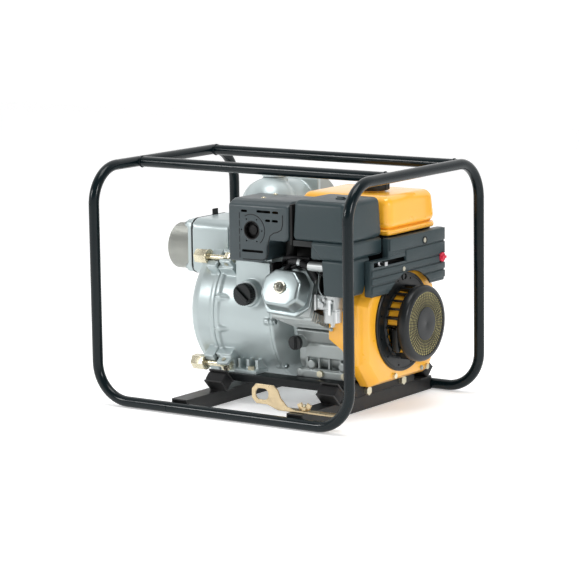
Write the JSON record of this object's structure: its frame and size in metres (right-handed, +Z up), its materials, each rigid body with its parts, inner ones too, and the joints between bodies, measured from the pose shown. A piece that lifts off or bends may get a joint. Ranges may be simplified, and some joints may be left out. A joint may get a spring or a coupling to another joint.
{
  "type": "portable fire pump",
  "caption": "Engine-driven self-priming pump in a bent-tube carrying frame, with threaded suction and discharge nipples and a swing-bolted front cover.",
  "frame": {"origin": "centre of the footprint of the tube frame, on the ground", "axes": "+Z up, +X along the crankshaft from the suction nipple towards the recoil starter, +Y towards the fuel tank and discharge outlet"},
  "size_m": [0.7454, 0.5894, 0.5767],
  "materials": {
    "frame_black": "gloss powder coat",
    "rubber_black": "matt",
    "cast_aluminium": "as-cast, clear coated",
    "pipe_steel": "grey-brown turned",
    "cast_iron": "as cast",
    "forged_steel": "ground",
    "zinc_steel": "bright zinc",
    "yellow_zinc": "yellow passivated zinc",
    "black_plastic": "moulded",
    "slate_plastic": "moulded, fine grain",
    "slate_steel": "satin stove paint",
    "dark_steel": "heat resistant black",
    "filter_foam": "pleated paper",
    "orange_paint": "gloss yellow-orange",
    "red_plastic": "moulded"
  },
  "bodies": {
    "pump_set": {"air_cleaner_case": "slate_plastic", "air_cleaner_cover": "slate_plastic", "base_channels": "frame_black", "blower_housing": "orange_paint", "carburetor": "cast_aluminium", "check_valve_gasket": "rubber_black", "crank_bearings": "forged_steel", "crankcase": "cast_aluminium", "crankcase_cover": "cast_aluminium", "cylinder_head": "cast_aluminium", "discharge_elbow": "cast_aluminium", "discharge_nipple": "pipe_steel", "engine_bed": "frame_black", "filter_element": "filter_foam", "frame_loop": "frame_black", "front_cover": "cast_aluminium", "fuel_tank": "orange_paint", "intake_pipe": "cast_aluminium", "mount_brackets": "frame_black", "muffler": "dark_steel", "muffler_cover": "slate_steel", "piston_and_rod": "forged_steel", "pump_adapter": "cast_aluminium", "pump_casing": "cast_aluminium", "pump_seals": "rubber_black", "recoil_housing": "black_plastic", "rubber_mounts": "rubber_black", "side_panel": "slate_plastic", "spark_plug_lead": "rubber_black", "suction_flange": "cast_aluminium", "suction_nipple": "pipe_steel", "top_crossbars": "frame_black", "valve_cover": "zinc_steel", "volute_insert": "cast_iron", "zinc_fasteners": "zinc_steel"},
    "crank": {"crankshaft": "forged_steel", "impeller": "cast_iron", "flywheel_fan": "cast_aluminium"},
    "camshaft": {"camshaft": "forged_steel"},
    "recoil_pulley": {"recoil_pulley": "black_plastic"},
    "recoil_handle": {"recoil_handle": "black_plastic"},
    "suction_flap": {"suction_flap": "rubber_black"},
    "priming_cap": {"priming_cap": "cast_aluminium"},
    "side_plug": {"side_plug": "black_plastic"},
    "drain_plug": {"drain_plug": "zinc_steel"},
    "fuel_cap": {"fuel_cap": "black_plastic"},
    "oil_dipstick": {"oil_dipstick": "black_plastic"},
    "wing_nut": {"wing_nut": "yellow_zinc"},
    "cover_wrench": {"cover_wrench": "yellow_zinc"},
    "throttle_lever": {"throttle_lever": "forged_steel"},
    "choke_lever": {"choke_lever": "zinc_steel"},
    "engine_switch": {"engine_switch": "red_plastic"},
    "swing_bolt_1": {"swing_bolt_1": "yellow_zinc"},
    "cover_nut_1": {"cover_nut_1": "yellow_zinc"},
    "swing_bolt_2": {"swing_bolt_2": "yellow_zinc"},
    "cover_nut_2": {"cover_nut_2": "yellow_zinc"},
    "swing_bolt_3": {"swing_bolt_3": "yellow_zinc"},
    "cover_nut_3": {"cover_nut_3": "yellow_zinc"},
    "swing_bolt_4": {"swing_bolt_4": "yellow_zinc"},
    "cover_nut_4": {"cover_nut_4": "yellow_zinc"}
  },
  "joints": [
    {"name": "crank_spin", "type": "hinge", "parent": "pump_set", "child": "crank", "pos_m": [0.1, 0.058, 0.204], "axis": [1, 0, 0], "continuous": true},
    {"name": "camshaft_spin", "type": "hinge", "parent": "pump_set", "child": "camshaft", "pos_m": [0.15, 0.10043, 0.16157], "axis": [1, 0, 0], "continuous": true},
    {"name": "swing_bolt_1_swing", "type": "hinge", "parent": "pump_set", "child": "swing_bolt_1", "pos_m": [-0.112, -0.08275, 0.34183], "axis": [0, 0.6997, 0.7145], "range_deg": [0, 60]},
    {"name": "cover_nut_1_spin", "type": "hinge", "parent": "swing_bolt_1", "child": "cover_nut_1", "pos_m": [-0.188, -0.08275, 0.34183], "axis": [-1, 0, 0], "continuous": true},
    {"name": "swing_bolt_2_swing", "type": "hinge", "parent": "pump_set", "child": "swing_bolt_2", "pos_m": [-0.112, 0.19875, 0.34183], "axis": [0, 0.6997, -0.7145], "range_deg": [0, 60]},
    {"name": "cover_nut_2_spin", "type": "hinge", "parent": "swing_bolt_2", "child": "cover_nut_2", "pos_m": [-0.188, 0.19875, 0.34183], "axis": [-1, 0, 0], "continuous": true},
    {"name": "swing_bolt_3_swing", "type": "hinge", "parent": "pump_set", "child": "swing_bolt_3", "pos_m": [-0.112, -0.10138, 0.08821], "axis": [0, -0.5878, 0.809], "range_deg": [0, 25]},
    {"name": "cover_nut_3_spin", "type": "hinge", "parent": "swing_bolt_3", "child": "cover_nut_3", "pos_m": [-0.188, -0.10138, 0.08821], "axis": [-1, 0, 0], "continuous": true},
    {"name": "swing_bolt_4_swing", "type": "hinge", "parent": "pump_set", "child": "swing_bolt_4", "pos_m": [-0.112, 0.21738, 0.08821], "axis": [0, -0.5878, -0.809], "range_deg": [0, 25]},
    {"name": "cover_nut_4_spin", "type": "hinge", "parent": "swing_bolt_4", "child": "cover_nut_4", "pos_m": [-0.188, 0.21738, 0.08821], "axis": [-1, 0, 0], "continuous": true},
    {"name": "recoil_pull", "type": "slide", "parent": "pump_set", "child": "recoil_handle", "axis": [0, -1, 0], "range_m": [0, 0.45], "stiffness_N_per_m": 20, "springref_m": -0.3},
    {"name": "recoil_pulley_spin", "type": "hinge", "parent": "pump_set", "child": "recoil_pulley", "pos_m": [0.299, 0.058, 0.204], "axis": [1, 0, 0], "range_deg": [-540, 0]},
    {"name": "suction_flap_swing", "type": "hinge", "parent": "pump_set", "child": "suction_flap", "pos_m": [-0.2632, 0.058, 0.398], "axis": [0, -1, 0], "range_deg": [0, 50]},
    {"name": "priming_cap_spin", "type": "hinge", "parent": "pump_set", "child": "priming_cap", "pos_m": [-0.092, 0.084, 0.53], "axis": [0, 0, 1], "continuous": true},
    {"name": "side_plug_spin", "type": "hinge", "parent": "pump_set", "child": "side_plug", "pos_m": [-0.04, -0.12, 0.267], "axis": [0, -1, 0], "continuous": true},
    {"name": "drain_plug_spin", "type": "hinge", "parent": "pump_set", "child": "drain_plug", "pos_m": [-0.235, 0.058, 0.07], "axis": [-1, 0, 0], "continuous": true},
    {"name": "fuel_cap_turn", "type": "hinge", "parent": "pump_set", "child": "fuel_cap", "pos_m": [0.202, 0.068, 0.515], "axis": [0, 0, 1], "range_deg": [0, 90]},
    {"name": "oil_dipstick_spin", "type": "hinge", "parent": "pump_set", "child": "oil_dipstick", "pos_m": [0.084, -0.09, 0.158], "axis": [0, -1, 0], "continuous": true},
    {"name": "wing_nut_spin", "type": "hinge", "parent": "pump_set", "child": "wing_nut", "pos_m": [0.216, -0.25, 0.042], "axis": [0, 0, 1], "continuous": true},
    {"name": "cover_wrench_swing", "type": "hinge", "parent": "pump_set", "child": "cover_wrench", "pos_m": [0.216, -0.25, 0.035], "axis": [0, 0, 1], "range_deg": [0, 40]},
    {"name": "throttle_swing", "type": "hinge", "parent": "pump_set", "child": "throttle_lever", "pos_m": [0.294, -0.056, 0.357], "axis": [0, 0, 1], "range_deg": [-20, 40]},
    {"name": "choke_swing", "type": "hinge", "parent": "pump_set", "child": "choke_lever", "pos_m": [0.23, -0.161, 0.276], "axis": [0, 1, 0], "range_deg": [-60, 0]},
    {"name": "engine_switch_turn", "type": "hinge", "parent": "pump_set", "child": "engine_switch", "pos_m": [0.308, 0.2, 0.34], "axis": [1, 0, 0], "range_deg": [0, 60]}
  ],
  "couplings": [
    {"joint": "camshaft_spin", "follows": "crank_spin", "ratio": -0.5},
    {"joint": "recoil_pulley_spin", "follows": "recoil_pull", "rad_per_m": -19.802}
  ]
}
